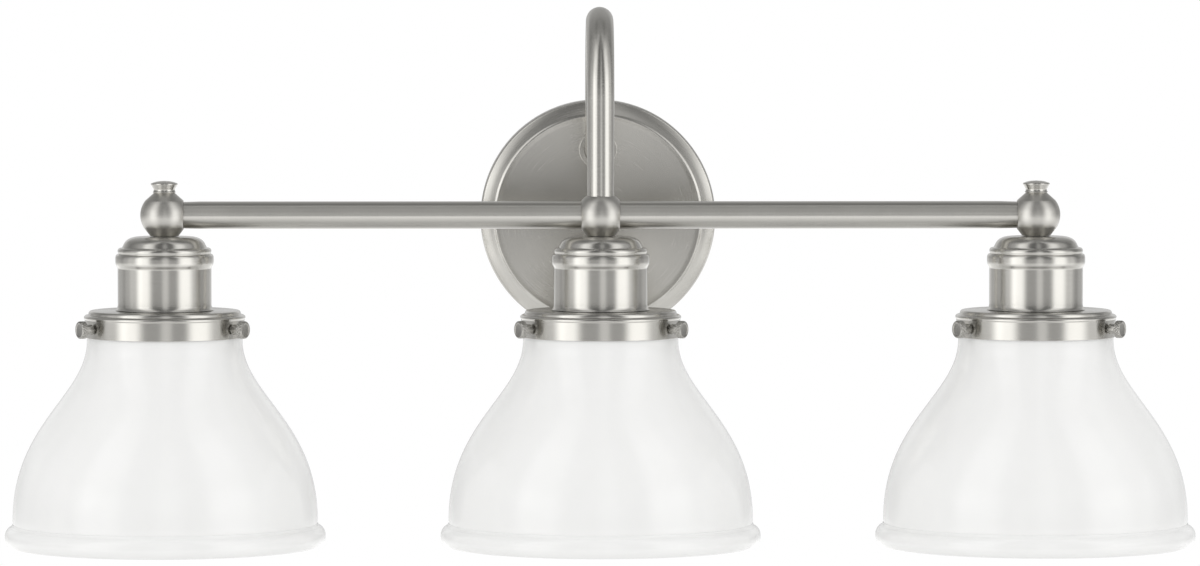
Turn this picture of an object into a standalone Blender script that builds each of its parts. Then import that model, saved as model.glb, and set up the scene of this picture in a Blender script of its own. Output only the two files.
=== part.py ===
"""Three-light vanity light bar: wall plate, gooseneck arm, straight bar and three opal glass bell shades.

Metres. X runs along the bar, +Y points to the wall and the wall is the plane Y = 0, +Z is up.
The origin is the centre of the wall plate, on the wall.
Heights inside a lamp are measured from the centre of its ball hub.
Turned outlines are (radius, height) in mm.
"""

import math

import bmesh
import bpy
from mathutils import Matrix, Vector

MM = 0.001
GAP = 0.3                      # clearance between touching pieces, mm

LAMPS = {"left": -1, "centre": 0, "right": 1}
PAIR = {"left": -1, "right": 1}
LAMP_SPACING = 254.0           # lamp axis to lamp axis, 10 in
LAMP_Y = -134.0                # plane of the three lamp axes
BAR_Z = 6.3                    # height of the bar over the plate's centre

TUBE_R = 8.0                   # bar and arm, 5/8 in tube
TUBE_BORE_R = 6.8
BALL_R = 14.0
SEAT_R = TUBE_R + GAP          # spot face that a tube end sits in
SEAT_DEPTH = 9.0               # spot face to ball centre
SPIGOT_R = 5.1                 # 1/8 in pipe thread
SPIGOT_BORE_R = 3.9
SPIGOT_HOLE_R = SPIGOT_R + GAP
SPIGOT_TIP = 6.0               # spigot end to ball centre
FOOT_R = 8.1
FOOT_Z = -12.2
FOOT_CONE_DEG = -32.0          # where the foot's cone leaves the ball
TOP_CONE_DEG = 38.0            # where the cone under a finial leaves the ball
FINIAL_SEAT_R = 6.4
FINIAL_SEAT_Z = 13.6
FINIAL_STEM_R = 3.0

PLATE_R = 70.5
PLATE_FLAT_R = 61.2
PLATE_DEPTH = 20.0
PLATE_WALL = 1.2
PLATE_SEGMENTS = 28
STUD_X = 44.45                 # 3 1/2 in between the fixing studs
STUD_R = 2.1
STUD_TIP = PLATE_DEPTH + 6.2
HOLE_LENGTH = 8.0              # of the cutters that drill thin sheet

CROSSBAR_LENGTH = 104.0
CROSSBAR_HEIGHT = 19.0
CROSSBAR_THICK = 1.6
CROSSBAR_CORNER_R = 5.0
SLOT_X = 30.5
SLOT_LENGTH = 14.0
SLOT_R = 2.4
GROUND_X = 15.0                # ground screw, to the right of the crossbar's middle
GROUND_SCREW_R = 2.3
GROUND_WIRE_R = 0.9
CONNECTOR_AT = (7.0, -10.0, 18.0)  # mouth of the right-hand wire connector

ARM_PLATE_Z = 40.8             # where the arm enters the plate
ARM_ARCH_R = 44.0
ARM_BEND_R = 24.0
ARM_TOP_Z = BAR_Z + 112.7      # centre line at the top of the arch
SPIGOT_BEHIND = 6.0            # length of the rear spigot inside the plate
COLLAR_R = 11.7
COLLAR_DEPTH = 3.2
LOCKNUT_R = 7.5
LOCKNUT_THICK = 3.6

COVER_TOP = FOOT_Z - GAP
COVER_R = 27.25
COVER_BORE_R = 26.0
COVER_WALL = 1.3
COVER_BOTTOM = -55.2
DISC_TOP = COVER_BOTTOM - GAP
DISC_THICK = 1.2
BAND_R = 46.5
BAND_BORE_R = 45.7
BAND_BOTTOM = -71.0

SCREW_Z = -65.4
SCREW_ANGLES = (90, 210, 330)  # one behind, two to the front
SCREW_TIP_R = 43.4             # distance of the tip from the lamp axis
SCREW_TIP_POINT_R = 1.3
SCREW_SHANK_R = 2.0
SCREW_NECK_R = 3.0
SCREW_HEAD_R = 5.1
SCREW_NECK_START = 0.9         # from the band's face
SCREW_HEAD_DEPTH = 3.7
SCREW_FACE = 55.7              # outer face of the head, from the lamp axis

GLASS = 3.6
LIP_R = 44.0
LIP_BORE_R = 39.3
LIP_TOP = -59.4
GROOVE_R = 42.8
NECK_R = 45.3
NECK_Z = -73.0
SKIRT_R = 88.9
SKIRT_Z = -178.0
BEAD_R = 93.5
BEAD_Z = -187.6
SHADE_BOTTOM = -193.0

HOLDER_R = 19.0
SHOULDER_R = 22.0
HOLDER_TOP = -20.0
HOLDER_MOUTH = -66.0
CAVITY_TOP = -33.0
SHELL_R = 13.7
SHELL_WALL = 0.7
SHELL_TOP = -37.0
SHELL_BOTTOM = -62.0
NIPPLE_BORE_R = 3.6
NIPPLE_BOTTOM = -30.0
NUT_R = 8.0
NUT_THICK = 4.6
RING_R = 25.0
RING_THICK = 3.2

LEAD_R = 1.3
LEAD_SIDE = 1.7                # the three leads lie in a triangle inside the arm
LEAD_FRONT = 1.95
LEAD_BACK = 0.98
LEAD_TURN_R = 6.0              # from nipple into bar
LEAD_RISE_R = 4.8              # from bar up into the arm
# how a lead drops behind the plate: share of its side offset, y, and height from the arm's entry
OUTER_TAIL = [(1.0, -11.3, -0.98), (1.4, -8.6, -2.8), (1.9, -8.2, -8.0), (2.0, -9.5, -14.0)]
CENTRE_TAIL = [(0.0, -11.3, 1.95), (0.0, -6.0, 0.6), (0.0, -4.4, -5.0), (0.0, -4.8, -14.0)]

RING_SEGMENTS = 24             # nested round pieces share this count, so their gaps are even
SOCKET_SEGMENTS = 16
BALL_SEGMENTS = 14
TUBE_SEGMENTS = 12
HEX_SEGMENTS = 12              # two points to each side of a hexagon
SMALL_SEGMENTS = 8
LEAD_SEGMENTS = 6

SHARP_DEG = 40                 # edges that turn more than this are drawn sharp

NICKEL = (0.52, 0.50, 0.47)
METALS = {
    "satin_nickel": (NICKEL, 0.30, 1.0),
    "knurled_nickel": ((0.46, 0.44, 0.42), 0.36, 1.0),
    "zinc_steel": ((0.60, 0.60, 0.58), 0.42, 1.0),
    "shell_aluminium": ((0.78, 0.78, 0.78), 0.35, 1.0),
    "contact_brass": ((0.72, 0.53, 0.24), 0.35, 1.0),
    "opal_glass": ((0.93, 0.93, 0.92), 0.08, 0.0),
    "glazed_porcelain": ((0.90, 0.89, 0.85), 0.15, 0.0),
    "lead_sleeve": ((0.80, 0.78, 0.70), 0.70, 0.0),
    "ground_green": ((0.05, 0.33, 0.12), 0.50, 0.0),
    "connector_plastic": ((0.75, 0.33, 0.05), 0.50, 0.0),
}


# ---------------------------------------------------------------- scene and materials

def clear_scene():
    for thing in list(bpy.data.objects):
        bpy.data.objects.remove(thing, do_unlink=True)


def material(name):
    found = bpy.data.materials.get(name)
    if found:
        return found
    colour, roughness, metallic = METALS[name]
    made = bpy.data.materials.new(name)
    made.use_nodes = True
    shader = made.node_tree.nodes["Principled BSDF"]
    shader.inputs["Base Color"].default_value = (*colour, 1.0)
    shader.inputs["Roughness"].default_value = roughness
    shader.inputs["Metallic"].default_value = metallic
    return made


def add_object(name, mesh, finish, place=None):
    """Links a mesh, given in mm, as a named object whose origin is put at place."""
    made = bpy.data.objects.new(name, mesh)
    bpy.context.scene.collection.objects.link(made)
    mesh.materials.clear()
    mesh.materials.append(material(finish))
    mesh.shade_smooth()
    mesh.set_sharp_from_angle(angle=math.radians(SHARP_DEG))
    if place is not None:
        made.matrix_world = place
    return made


def mesh_from(name, points, faces):
    mesh = bpy.data.meshes.new(name)
    mesh.from_pydata([tuple(c * MM for c in p) for p in points], [], faces)
    work = bmesh.new()
    work.from_mesh(mesh)
    bmesh.ops.recalc_face_normals(work, faces=work.faces)
    work.to_mesh(mesh)
    work.free()
    return mesh


def at(x=0.0, y=0.0, z=0.0, turn=None):
    """A placement: a point in mm, and a rotation that is applied first."""
    move = Matrix.Translation(Vector((x, y, z)) * MM)
    return move @ turn if turn is not None else move


def turned_towards(axis):
    """The rotation that lays a piece turned about +Z along another axis."""
    return Vector(axis).to_track_quat("Z", "Y").to_matrix().to_4x4()


# ---------------------------------------------------------------- shape helpers

def ring_points(radius, height, segments, corner_share=1.0):
    """One ring of a turned piece. A corner_share over 1 pushes every second point out, as on a hexagon."""
    points = []
    for i in range(segments):
        angle = 2 * math.pi * (i + 0.5) / segments
        reach = radius * (corner_share if i % 2 else 1.0)
        points.append((reach * math.cos(angle), reach * math.sin(angle), height))
    return points


def turned_mesh(name, outline, segments, hex_rows=()):
    """A closed outline (radius, height) turned about Z. Rows in hex_rows are hexagons, for 12 segments."""
    points = []
    faces = []
    rows = []
    for row, (radius, height) in enumerate(outline):
        start = len(points)
        if radius < 1e-6:
            points.append((0.0, 0.0, height))
            rows.append([start] * segments)
            continue
        share = 1 / math.cos(math.pi / 6) if row in hex_rows else 1.0
        points.extend(ring_points(radius, height, segments, share))
        rows.append(list(range(start, start + segments)))
    count = len(rows)
    on_axis = [outline[k][0] < 1e-6 for k in range(count)]
    for k in range(count):
        lower, upper = rows[k], rows[(k + 1) % count]
        if on_axis[k] and on_axis[(k + 1) % count]:
            continue
        for i in range(segments):
            j = (i + 1) % segments
            corners = [lower[i], lower[j], upper[j], upper[i]]
            faces.append([c for n, c in enumerate(corners) if c not in corners[:n]])
    return mesh_from(name, points, faces)


def bezier(p0, p1, p2, p3, steps):
    """Points of a cubic curve, both ends included."""
    points = []
    for i in range(steps + 1):
        t = i / steps
        u = 1 - t
        points.append(tuple(
            u ** 3 * a + 3 * u * u * t * b + 3 * u * t * t * c + t ** 3 * d
            for a, b, c, d in zip(p0, p1, p2, p3)
        ))
    return points


def arc(centre, radius, start_deg, end_deg, steps):
    """Points of a circular arc in a plane, both ends included."""
    points = []
    for i in range(steps + 1):
        angle = math.radians(start_deg + (end_deg - start_deg) * i / steps)
        points.append((centre[0] + radius * math.cos(angle), centre[1] + radius * math.sin(angle)))
    return points


def rounded_path(corners, steps=8):
    """A smooth curve through hand-set points, as (x, y, z) in mm."""
    path = []
    last = len(corners) - 1
    for i in range(last):
        before = Vector(corners[max(i - 1, 0)])
        a = Vector(corners[i])
        b = Vector(corners[i + 1])
        after = Vector(corners[min(i + 2, last)])
        for s in range(steps):
            t = s / steps
            path.append(
                0.5 * (2 * a + (b - before) * t
                       + (2 * before - 5 * a + 4 * b - after) * t * t
                       + (3 * a - before - 3 * b + after) * t ** 3)
            )
    path.append(Vector(corners[last]))
    return path


def frames_along(path):
    """A tangent and two side vectors at each point, turned as little as possible from one to the next."""
    frames = []
    side = None
    for i in range(len(path)):
        ahead = path[min(i + 1, len(path) - 1)] - path[max(i - 1, 0)]
        tangent = ahead.normalized()
        if side is None:
            side = Vector((1, 0, 0)) if abs(tangent.x) < 0.9 else Vector((0, 1, 0))
        side = (side - tangent * side.dot(tangent)).normalized()
        frames.append((tangent, side, tangent.cross(side)))
    return frames


def swept_skin(stations, segments):
    """Points and faces of an open skin round rings on a path. A station is (point, side, up, radius)."""
    points = []
    faces = []
    for point, side, up, radius in stations:
        for i in range(segments):
            angle = 2 * math.pi * (i + 0.5) / segments
            points.append(tuple(point + side * radius * math.cos(angle) + up * radius * math.sin(angle)))
    for k in range(len(stations) - 1):
        for i in range(segments):
            j = (i + 1) % segments
            a, b = k * segments, (k + 1) * segments
            faces.append([a + i, a + j, b + j, b + i])
    return points, faces


def solid_rod(name, path, radius, segments):
    """A round rod along a path, with flat ends."""
    frames = frames_along(path)
    stations = [(p, f[1], f[2], radius) for p, f in zip(path, frames)]
    points, faces = swept_skin(stations, segments)
    faces.append(list(range(segments)))
    faces.append([(len(path) - 1) * segments + i for i in range(segments)])
    return mesh_from(name, points, faces)


def cut(target, cutter):
    """Subtracts a cutter, which stays in the scene as a hidden wire guide."""
    cutter.hide_render = True
    cutter.display_type = "WIRE"
    step = target.modifiers.new("cut_" + cutter.name, "BOOLEAN")
    step.operation = "DIFFERENCE"
    step.solver = "EXACT"
    step.object = cutter


def cutter_cylinder(name, radius, length, place, segments=TUBE_SEGMENTS):
    outline = [(0, -length / 2), (radius, -length / 2), (radius, length / 2), (0, length / 2)]
    return add_object(name, turned_mesh(name, outline, segments), "zinc_steel", place)


# ---------------------------------------------------------------- wall plate

def make_canopy():
    """Spun plate, open to the wall: a flat face, a fine step, a low sloping ring and a straight rim."""
    face = PLATE_DEPTH
    inner = face - PLATE_WALL
    rim_bore = PLATE_R - PLATE_WALL
    outline = [
        (0, face), (PLATE_FLAT_R, face), (PLATE_FLAT_R + 1.0, face - 0.4), (66.0, face - 1.3),
        (69.6, face - 2.8), (PLATE_R, face - 5.2), (PLATE_R, 0.0), (rim_bore, 0.0), (rim_bore, face - 6.0),
        (68.4, face - 4.0), (65.6, face - 2.6), (PLATE_FLAT_R - 0.4, inner), (0, inner),
    ]
    mesh = turned_mesh("backplate_canopy", outline, PLATE_SEGMENTS)
    plate = add_object("backplate_canopy", mesh, "satin_nickel", at(turn=turned_towards((0, -1, 0))))
    across = turned_towards((0, 1, 0))
    holes = [("hole_arm", 0.0, ARM_PLATE_Z, SPIGOT_HOLE_R)]
    for side, sign in PAIR.items():
        holes.append(("hole_stud_" + side, sign * STUD_X, 0.0, STUD_R + 2 * GAP))
    for name, x, z, radius in holes:
        cut(plate, cutter_cylinder(name, radius, HOLE_LENGTH, at(x, -face, z, across)))


def make_crossbar():
    """Steel strip that is screwed to the junction box through its slots. Its back lies on the wall plane."""
    size = Vector((CROSSBAR_LENGTH, CROSSBAR_THICK, CROSSBAR_HEIGHT)) * MM
    work = bmesh.new()
    bmesh.ops.create_cube(work, size=1.0)
    bmesh.ops.scale(work, vec=size, verts=work.verts)
    corners = [e for e in work.edges if abs(e.verts[0].co.y - e.verts[1].co.y) > size.y / 2]
    reach = CROSSBAR_CORNER_R * MM
    bmesh.ops.bevel(work, geom=corners, offset=reach, segments=3, affect="EDGES", profile=0.5)
    mesh = bpy.data.meshes.new("mounting_crossbar")
    work.to_mesh(mesh)
    work.free()
    strip = add_object("mounting_crossbar", mesh, "zinc_steel", at(0, -CROSSBAR_THICK / 2, 0))
    across = turned_towards((0, 1, 0))
    stretch = (SLOT_LENGTH / 2 - SLOT_R) * MM
    for side, sign in PAIR.items():
        spot = at(sign * STUD_X, 0, 0, across)
        cut(strip, cutter_cylinder("hole_cross_" + side, STUD_R + GAP, HOLE_LENGTH, spot))
        slot = cutter_cylinder("slot_" + side, SLOT_R, HOLE_LENGTH, at(sign * SLOT_X, 0, 0, across))
        for vertex in slot.data.vertices:
            if abs(vertex.co.x) > 1e-6:
                vertex.co.x += math.copysign(stretch, vertex.co.x)
        cut(strip, slot)
    cut(strip, cutter_cylinder("hole_ground", GROUND_SCREW_R + GAP, HOLE_LENGTH, at(GROUND_X, 0, 0, across)))


def make_crossbar_hardware():
    """Two studs through the plate with cap nuts on its face, and the green ground screw."""
    outwards = turned_towards((0, -1, 0))
    stud = [(0, GAP), (STUD_R, GAP), (STUD_R, STUD_TIP - 0.6), (STUD_R - 0.6, STUD_TIP), (0, STUD_TIP)]
    nut_hole = STUD_R + GAP
    nut = [
        (nut_hole, 0), (5.0, 0), (5.0, 3.4), (4.6, 4.2), (4.3, 6.2), (3.1, 8.1), (0, 9.0),
        (0, 7.0), (nut_hole, 6.8),
    ]
    shank = CROSSBAR_THICK + GAP
    screw = [(0, GAP), (GROUND_SCREW_R, GAP), (GROUND_SCREW_R, shank), (4.6, shank), (4.6, 4.4), (0, 4.9)]
    for side, sign in PAIR.items():
        name = "crossbar_stud_" + side
        add_object(name, turned_mesh(name, stud, SMALL_SEGMENTS), "zinc_steel",
                   at(sign * STUD_X, 0, 0, outwards))
        name = "cap_nut_" + side
        mesh = turned_mesh(name, nut, HEX_SEGMENTS, hex_rows=(1, 2))
        add_object(name, mesh, "satin_nickel", at(sign * STUD_X, -PLATE_DEPTH - GAP, 0, outwards))
    add_object("ground_screw", turned_mesh("ground_screw", screw, SMALL_SEGMENTS), "ground_green",
               at(GROUND_X, 0, 0, outwards))


def make_ground_lead():
    """Bonds the arm's locknut to the ground screw on the crossbar."""
    corners = [
        (GROUND_X, -3.2, 5.4), (GROUND_X, -3.2, 14.0), (GROUND_X, -3.3, 26.0),
        (GROUND_X - 1.0, -7.5, ARM_PLATE_Z - 6.3), (GROUND_X - 2.8, -13.5, ARM_PLATE_Z - 2.8),
        (GROUND_X - 4.6, -16.4, ARM_PLATE_Z - 1.8),
    ]
    mesh = solid_rod("ground_lead", rounded_path(corners, 2), GROUND_WIRE_R, LEAD_SEGMENTS)
    add_object("ground_lead", mesh, "ground_green")


# ---------------------------------------------------------------- arm and bar

def arm_line():
    """Centre line of the arm from the centre ball to the plate, as (y, z) in mm, and the arc steps in it."""
    tangent_z = ARM_TOP_Z - ARM_ARCH_R
    rear_y = LAMP_Y + 2 * ARM_ARCH_R
    line = [(LAMP_Y, BAR_Z + SEAT_DEPTH + GAP)]
    line += arc((LAMP_Y + ARM_ARCH_R, tangent_z), ARM_ARCH_R, 180, 0, 12)
    line += arc((rear_y + ARM_BEND_R, ARM_PLATE_Z + ARM_BEND_R), ARM_BEND_R, 180, 270, 6)
    line.append((-PLATE_DEPTH - GAP, ARM_PLATE_Z))
    return line


def arm_path():
    return [Vector((0.0, y, z)) for y, z in arm_line()]


def make_arm():
    """Hollow gooseneck with a threaded spigot at each end."""
    path = arm_path()
    frames = frames_along(path)
    first, last = path[0], path[-1]
    tip_front = Vector((0, LAMP_Y, BAR_Z + SPIGOT_TIP))
    tip_rear = Vector((0, -PLATE_DEPTH + PLATE_WALL + SPIGOT_BEHIND, ARM_PLATE_Z))
    up, back = frames[0], frames[-1]
    outer = [(tip_front, SPIGOT_R, up), (first, SPIGOT_R, up), (first, TUBE_R, up)]
    outer += [(p, TUBE_R, f) for p, f in zip(path[1:-1], frames[1:-1])]
    outer += [(last, TUBE_R, back), (last, SPIGOT_R, back), (tip_rear, SPIGOT_R, back)]
    inner = [(tip_rear, SPIGOT_BORE_R, back), (last - Vector((0, 0.2, 0)), SPIGOT_BORE_R, back)]
    inner += [(path[-2] * 0.5 + path[-1] * 0.5, TUBE_BORE_R, back)]
    inner += [(p, TUBE_BORE_R, f) for p, f in zip(reversed(path[1:-2]), reversed(frames[1:-2]))]
    inner += [
        (first + Vector((0, 0, 3.0)), TUBE_BORE_R, up), (first + Vector((0, 0, 0.6)), SPIGOT_BORE_R, up),
        (tip_front, SPIGOT_BORE_R, up),
    ]
    stations = [(p, f[1], f[2], r) for p, r, f in outer + inner]
    points, faces = swept_skin(stations, TUBE_SEGMENTS)
    end = (len(stations) - 1) * TUBE_SEGMENTS
    for i in range(TUBE_SEGMENTS):
        j = (i + 1) % TUBE_SEGMENTS
        faces.append([end + i, end + j, j, i])
    add_object("gooseneck_arm", mesh_from("gooseneck_arm", points, faces), "satin_nickel")


def make_arm_fittings():
    """Rosette on the plate's face and the nut that clamps the arm behind it."""
    collar = [(SEAT_R, 0), (COLLAR_R, 0), (COLLAR_R, COLLAR_DEPTH - 0.5), (COLLAR_R - 0.5, COLLAR_DEPTH)]
    collar.append((SEAT_R, COLLAR_DEPTH))
    add_object("arm_collar", turned_mesh("arm_collar", collar, TUBE_SEGMENTS), "satin_nickel",
               at(0, -PLATE_DEPTH - GAP, ARM_PLATE_Z, turned_towards((0, -1, 0))))
    nut = [(SPIGOT_HOLE_R, 0), (LOCKNUT_R, 0), (LOCKNUT_R, LOCKNUT_THICK), (SPIGOT_HOLE_R, LOCKNUT_THICK)]
    add_object("arm_locknut", turned_mesh("arm_locknut", nut, HEX_SEGMENTS, hex_rows=(1, 2)), "zinc_steel",
               at(0, -PLATE_DEPTH + PLATE_WALL + GAP, ARM_PLATE_Z, turned_towards((0, 1, 0))))


def ball_outline(has_arm):
    """Ball with a conical foot, bored for the nipple. Its top takes the arm, or else a finial."""
    foot = [(SPIGOT_HOLE_R, FOOT_Z), (FOOT_R, FOOT_Z)]
    if has_arm:
        top_deg = math.degrees(math.acos(SEAT_R / BALL_R))
        top = [(SEAT_R, SEAT_DEPTH), (SPIGOT_HOLE_R, SEAT_DEPTH)]
    else:
        top_deg = TOP_CONE_DEG
        stem_hole = FINIAL_STEM_R + GAP
        top = [(FINIAL_SEAT_R, FINIAL_SEAT_Z), (stem_hole, FINIAL_SEAT_Z)]
        top += [(stem_hole, 7.2), (SPIGOT_HOLE_R, 5.6)]
    return foot + arc((0, 0), BALL_R, FOOT_CONE_DEG, top_deg, 5) + top


def make_ball(side, sign):
    """Ball hub, with a stepped bore for each bar that enters it."""
    name = "ball_hub_" + side
    mesh = turned_mesh(name, ball_outline(sign == 0), BALL_SEGMENTS)
    ball = add_object(name, mesh, "satin_nickel", at(sign * LAMP_SPACING, LAMP_Y, BAR_Z))
    beyond = BALL_R + 6.0
    bore = [
        (0, 0), (SPIGOT_HOLE_R, 0), (SPIGOT_HOLE_R, SEAT_DEPTH), (SEAT_R, SEAT_DEPTH),
        (SEAT_R, beyond), (0, beyond),
    ]
    entries = (-1, 1) if sign == 0 else (-sign,)
    for entry in entries:
        label = f"bore_{side}_{'right' if entry > 0 else 'left'}"
        cutter = add_object(label, turned_mesh(label, bore, TUBE_SEGMENTS), "zinc_steel",
                            at(sign * LAMP_SPACING, LAMP_Y, BAR_Z, turned_towards((entry, 0, 0))))
        cut(ball, cutter)


def make_finial(side, sign):
    """Small cap on an outer ball: a stem in the ball, a waist, and a flared rim under a low dome."""
    base = FINIAL_SEAT_Z + GAP
    stem_end = 8.2
    outline = [(0, stem_end), (FINIAL_STEM_R, stem_end), (FINIAL_STEM_R, base), (FINIAL_SEAT_R, base)]
    outline += [(6.1, 14.9), (7.9, 18.0), (7.7, 18.6), (4.6, 19.7), (0, 20.0)]
    name = "finial_" + side
    add_object(name, turned_mesh(name, outline, TUBE_SEGMENTS), "satin_nickel",
               at(sign * LAMP_SPACING, LAMP_Y, BAR_Z))


def make_bar(side, sign):
    """Hollow straight tube with a threaded spigot at each end."""
    near = SEAT_DEPTH + GAP
    far = LAMP_SPACING - near
    tip = LAMP_SPACING - SPIGOT_TIP
    outline = [
        (SPIGOT_R, SPIGOT_TIP), (SPIGOT_R, near), (TUBE_R, near),
        (TUBE_R, far), (SPIGOT_R, far), (SPIGOT_R, tip),
        (SPIGOT_BORE_R, tip), (SPIGOT_BORE_R, far - 0.6), (TUBE_BORE_R, far - 3), (TUBE_BORE_R, near + 3),
        (SPIGOT_BORE_R, near + 0.6), (SPIGOT_BORE_R, SPIGOT_TIP),
    ]
    name = "bar_tube_" + side
    add_object(name, turned_mesh(name, outline, TUBE_SEGMENTS), "satin_nickel",
               at(0, LAMP_Y, BAR_Z, turned_towards((sign, 0, 0))))


# ---------------------------------------------------------------- lamp holder and shade

def make_cover(side, x):
    """Spun cup under the ball: domed top, a bead, a wider band and a straight body with a small flare."""
    outline = [(SPIGOT_HOLE_R, COVER_TOP), (18.0, COVER_TOP)]
    outline += [(21.8, -14.2), (23.6, -16.6), (24.7, -19.0)]
    outline += [(26.8, -19.2), (27.3, -20.7), (26.9, -22.5)]
    outline += [(28.4, -23.2), (28.5, -28.8), (COVER_R, -30.6)]
    outline += [(COVER_R, -53.4), (28.6, COVER_BOTTOM)]
    outline += [(COVER_BORE_R, COVER_BOTTOM), (COVER_BORE_R, -24.0), (22.2, -17.0)]
    outline += [(16.6, COVER_TOP - COVER_WALL), (SPIGOT_HOLE_R, COVER_TOP - COVER_WALL)]
    name = "socket_cover_" + side
    add_object(name, turned_mesh(name, outline, SOCKET_SEGMENTS), "satin_nickel", at(x, LAMP_Y, BAR_Z))


def make_gallery(side, x):
    """Shade holder: stepped disc, bead and vertical band, drilled for its three thumbscrews."""
    outline = [(HOLDER_R + GAP, DISC_TOP), (43.6, DISC_TOP), (44.3, -57.7)]
    outline += [(47.0, -58.6), (BAND_R, -60.7), (BAND_R, BAND_BOTTOM)]
    outline += [(BAND_BORE_R, BAND_BOTTOM), (BAND_BORE_R, -59.4), (43.0, -58.6)]
    outline += [(43.0, DISC_TOP - DISC_THICK), (HOLDER_R + GAP, DISC_TOP - DISC_THICK)]
    name = "gallery_" + side
    mesh = turned_mesh(name, outline, RING_SEGMENTS)
    gallery = add_object(name, mesh, "satin_nickel", at(x, LAMP_Y, BAR_Z))
    for number, angle in enumerate(SCREW_ANGLES, 1):
        out = Vector((math.cos(math.radians(angle)), math.sin(math.radians(angle)), 0))
        spot = Vector((x, LAMP_Y, BAR_Z + SCREW_Z)) + out * BAND_R
        cut(gallery, cutter_cylinder(f"tap_{side}_{number}", SCREW_SHANK_R + GAP, HOLE_LENGTH,
                                     at(*spot, turned_towards(out)), SMALL_SEGMENTS))


def make_thumbscrews(side, x):
    """Three knurled screws whose origins sit on their own axes, at the band."""
    tip = SCREW_TIP_R - BAND_R
    face = SCREW_FACE - BAND_R
    head = face - SCREW_HEAD_DEPTH
    outline = [
        (0, tip), (SCREW_TIP_POINT_R, tip), (SCREW_SHANK_R, tip + 0.7), (SCREW_SHANK_R, SCREW_NECK_START),
        (SCREW_NECK_R, SCREW_NECK_START), (SCREW_NECK_R, head - 0.3), (SCREW_HEAD_R, head),
        (SCREW_HEAD_R, face), (0, face),
    ]
    for number, angle in enumerate(SCREW_ANGLES, 1):
        out = Vector((math.cos(math.radians(angle)), math.sin(math.radians(angle)), 0))
        spot = Vector((x, LAMP_Y, BAR_Z + SCREW_Z)) + out * BAND_R
        name = f"thumbscrew_{side}_{number}"
        add_object(name, turned_mesh(name, outline, SMALL_SEGMENTS), "knurled_nickel",
                   at(*spot, turned_towards(out)))


def make_shade(side, x):
    """Opal bell: a lipped neck that hangs on the screws, an S-curved bell and a rolled bead at the mouth."""
    neck, skirt = (NECK_R, NECK_Z), (SKIRT_R, SKIRT_Z)
    bell = bezier(neck, (NECK_R, NECK_Z - 32), (SKIRT_R, SKIRT_Z + 57), skirt, 7)
    outline = [(LIP_R, LIP_TOP), (GROOVE_R, -67.8), (NECK_R, BAND_BOTTOM)]
    outline += bell
    outline += [(91.6, -182.4), (BEAD_R, BEAD_Z), (92.2, -191.8), (90.0, SHADE_BOTTOM)]
    inner_neck, inner_skirt = NECK_R - GLASS, SKIRT_R - GLASS
    inside = bezier((inner_neck, NECK_Z), (inner_neck, NECK_Z - 33.5), (inner_skirt, SKIRT_Z + 55.5),
                    (inner_skirt, SKIRT_Z), 6)
    outline += [(86.6, -192.0)] + inside[::-1]
    outline += [(LIP_BORE_R, -68.6), (LIP_BORE_R, LIP_TOP)]
    name = "shade_" + side
    add_object(name, turned_mesh(name, outline, RING_SEGMENTS), "opal_glass", at(x, LAMP_Y, BAR_Z))


def make_lampholder(side, x):
    """E26 porcelain socket with its threaded shell and centre contact, hung on the nipple."""
    place = at(x, LAMP_Y, BAR_Z)
    cavity = SHELL_R + 0.4
    body = [
        (SPIGOT_HOLE_R, HOLDER_TOP), (14.0, HOLDER_TOP), (HOLDER_R, -25.5), (HOLDER_R, -51.0),
        (SHOULDER_R, -52.0), (SHOULDER_R, COVER_BOTTOM), (HOLDER_R, COVER_BOTTOM), (HOLDER_R, HOLDER_MOUTH),
        (cavity, HOLDER_MOUTH), (cavity, CAVITY_TOP), (SPIGOT_HOLE_R, CAVITY_TOP),
    ]
    name = "lampholder_" + side
    add_object(name, turned_mesh(name, body, SOCKET_SEGMENTS), "glazed_porcelain", place)
    bore = SHELL_R - SHELL_WALL
    shell = [(bore, SHELL_TOP), (SHELL_R, SHELL_TOP), (SHELL_R, SHELL_BOTTOM), (bore, SHELL_BOTTOM)]
    name = "screw_shell_" + side
    add_object(name, turned_mesh(name, shell, SOCKET_SEGMENTS), "shell_aluminium", place)
    top = CAVITY_TOP - GAP
    contact = [(0, top), (8.0, top), (8.0, top - 1.0), (3.4, top - 1.2), (2.8, top - 2.0), (0, top - 2.2)]
    name = "centre_contact_" + side
    add_object(name, turned_mesh(name, contact, SMALL_SEGMENTS), "contact_brass", place)


def make_lamp_hardware(side, x):
    """Nipple from ball to lampholder, its nut under the cover, and the ring that clamps the gallery."""
    place = at(x, LAMP_Y, BAR_Z)
    nipple = [
        (SPIGOT_R, -SPIGOT_TIP), (SPIGOT_R, NIPPLE_BOTTOM),
        (NIPPLE_BORE_R, NIPPLE_BOTTOM), (NIPPLE_BORE_R, -SPIGOT_TIP),
    ]
    name = "nipple_" + side
    add_object(name, turned_mesh(name, nipple, SMALL_SEGMENTS), "zinc_steel", place)
    top = COVER_TOP - COVER_WALL - GAP
    nut = [(SPIGOT_HOLE_R, top), (NUT_R, top), (NUT_R, top - NUT_THICK), (SPIGOT_HOLE_R, top - NUT_THICK)]
    name = "nipple_nut_" + side
    add_object(name, turned_mesh(name, nut, HEX_SEGMENTS, hex_rows=(1, 2)), "zinc_steel", place)
    top = DISC_TOP - DISC_THICK - GAP
    bore = HOLDER_R + GAP
    ring = [(bore, top), (RING_R, top), (RING_R, top - RING_THICK), (bore, top - RING_THICK)]
    name = "retaining_ring_" + side
    add_object(name, turned_mesh(name, ring, SOCKET_SEGMENTS), "glazed_porcelain", place)


# ---------------------------------------------------------------- wiring

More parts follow.
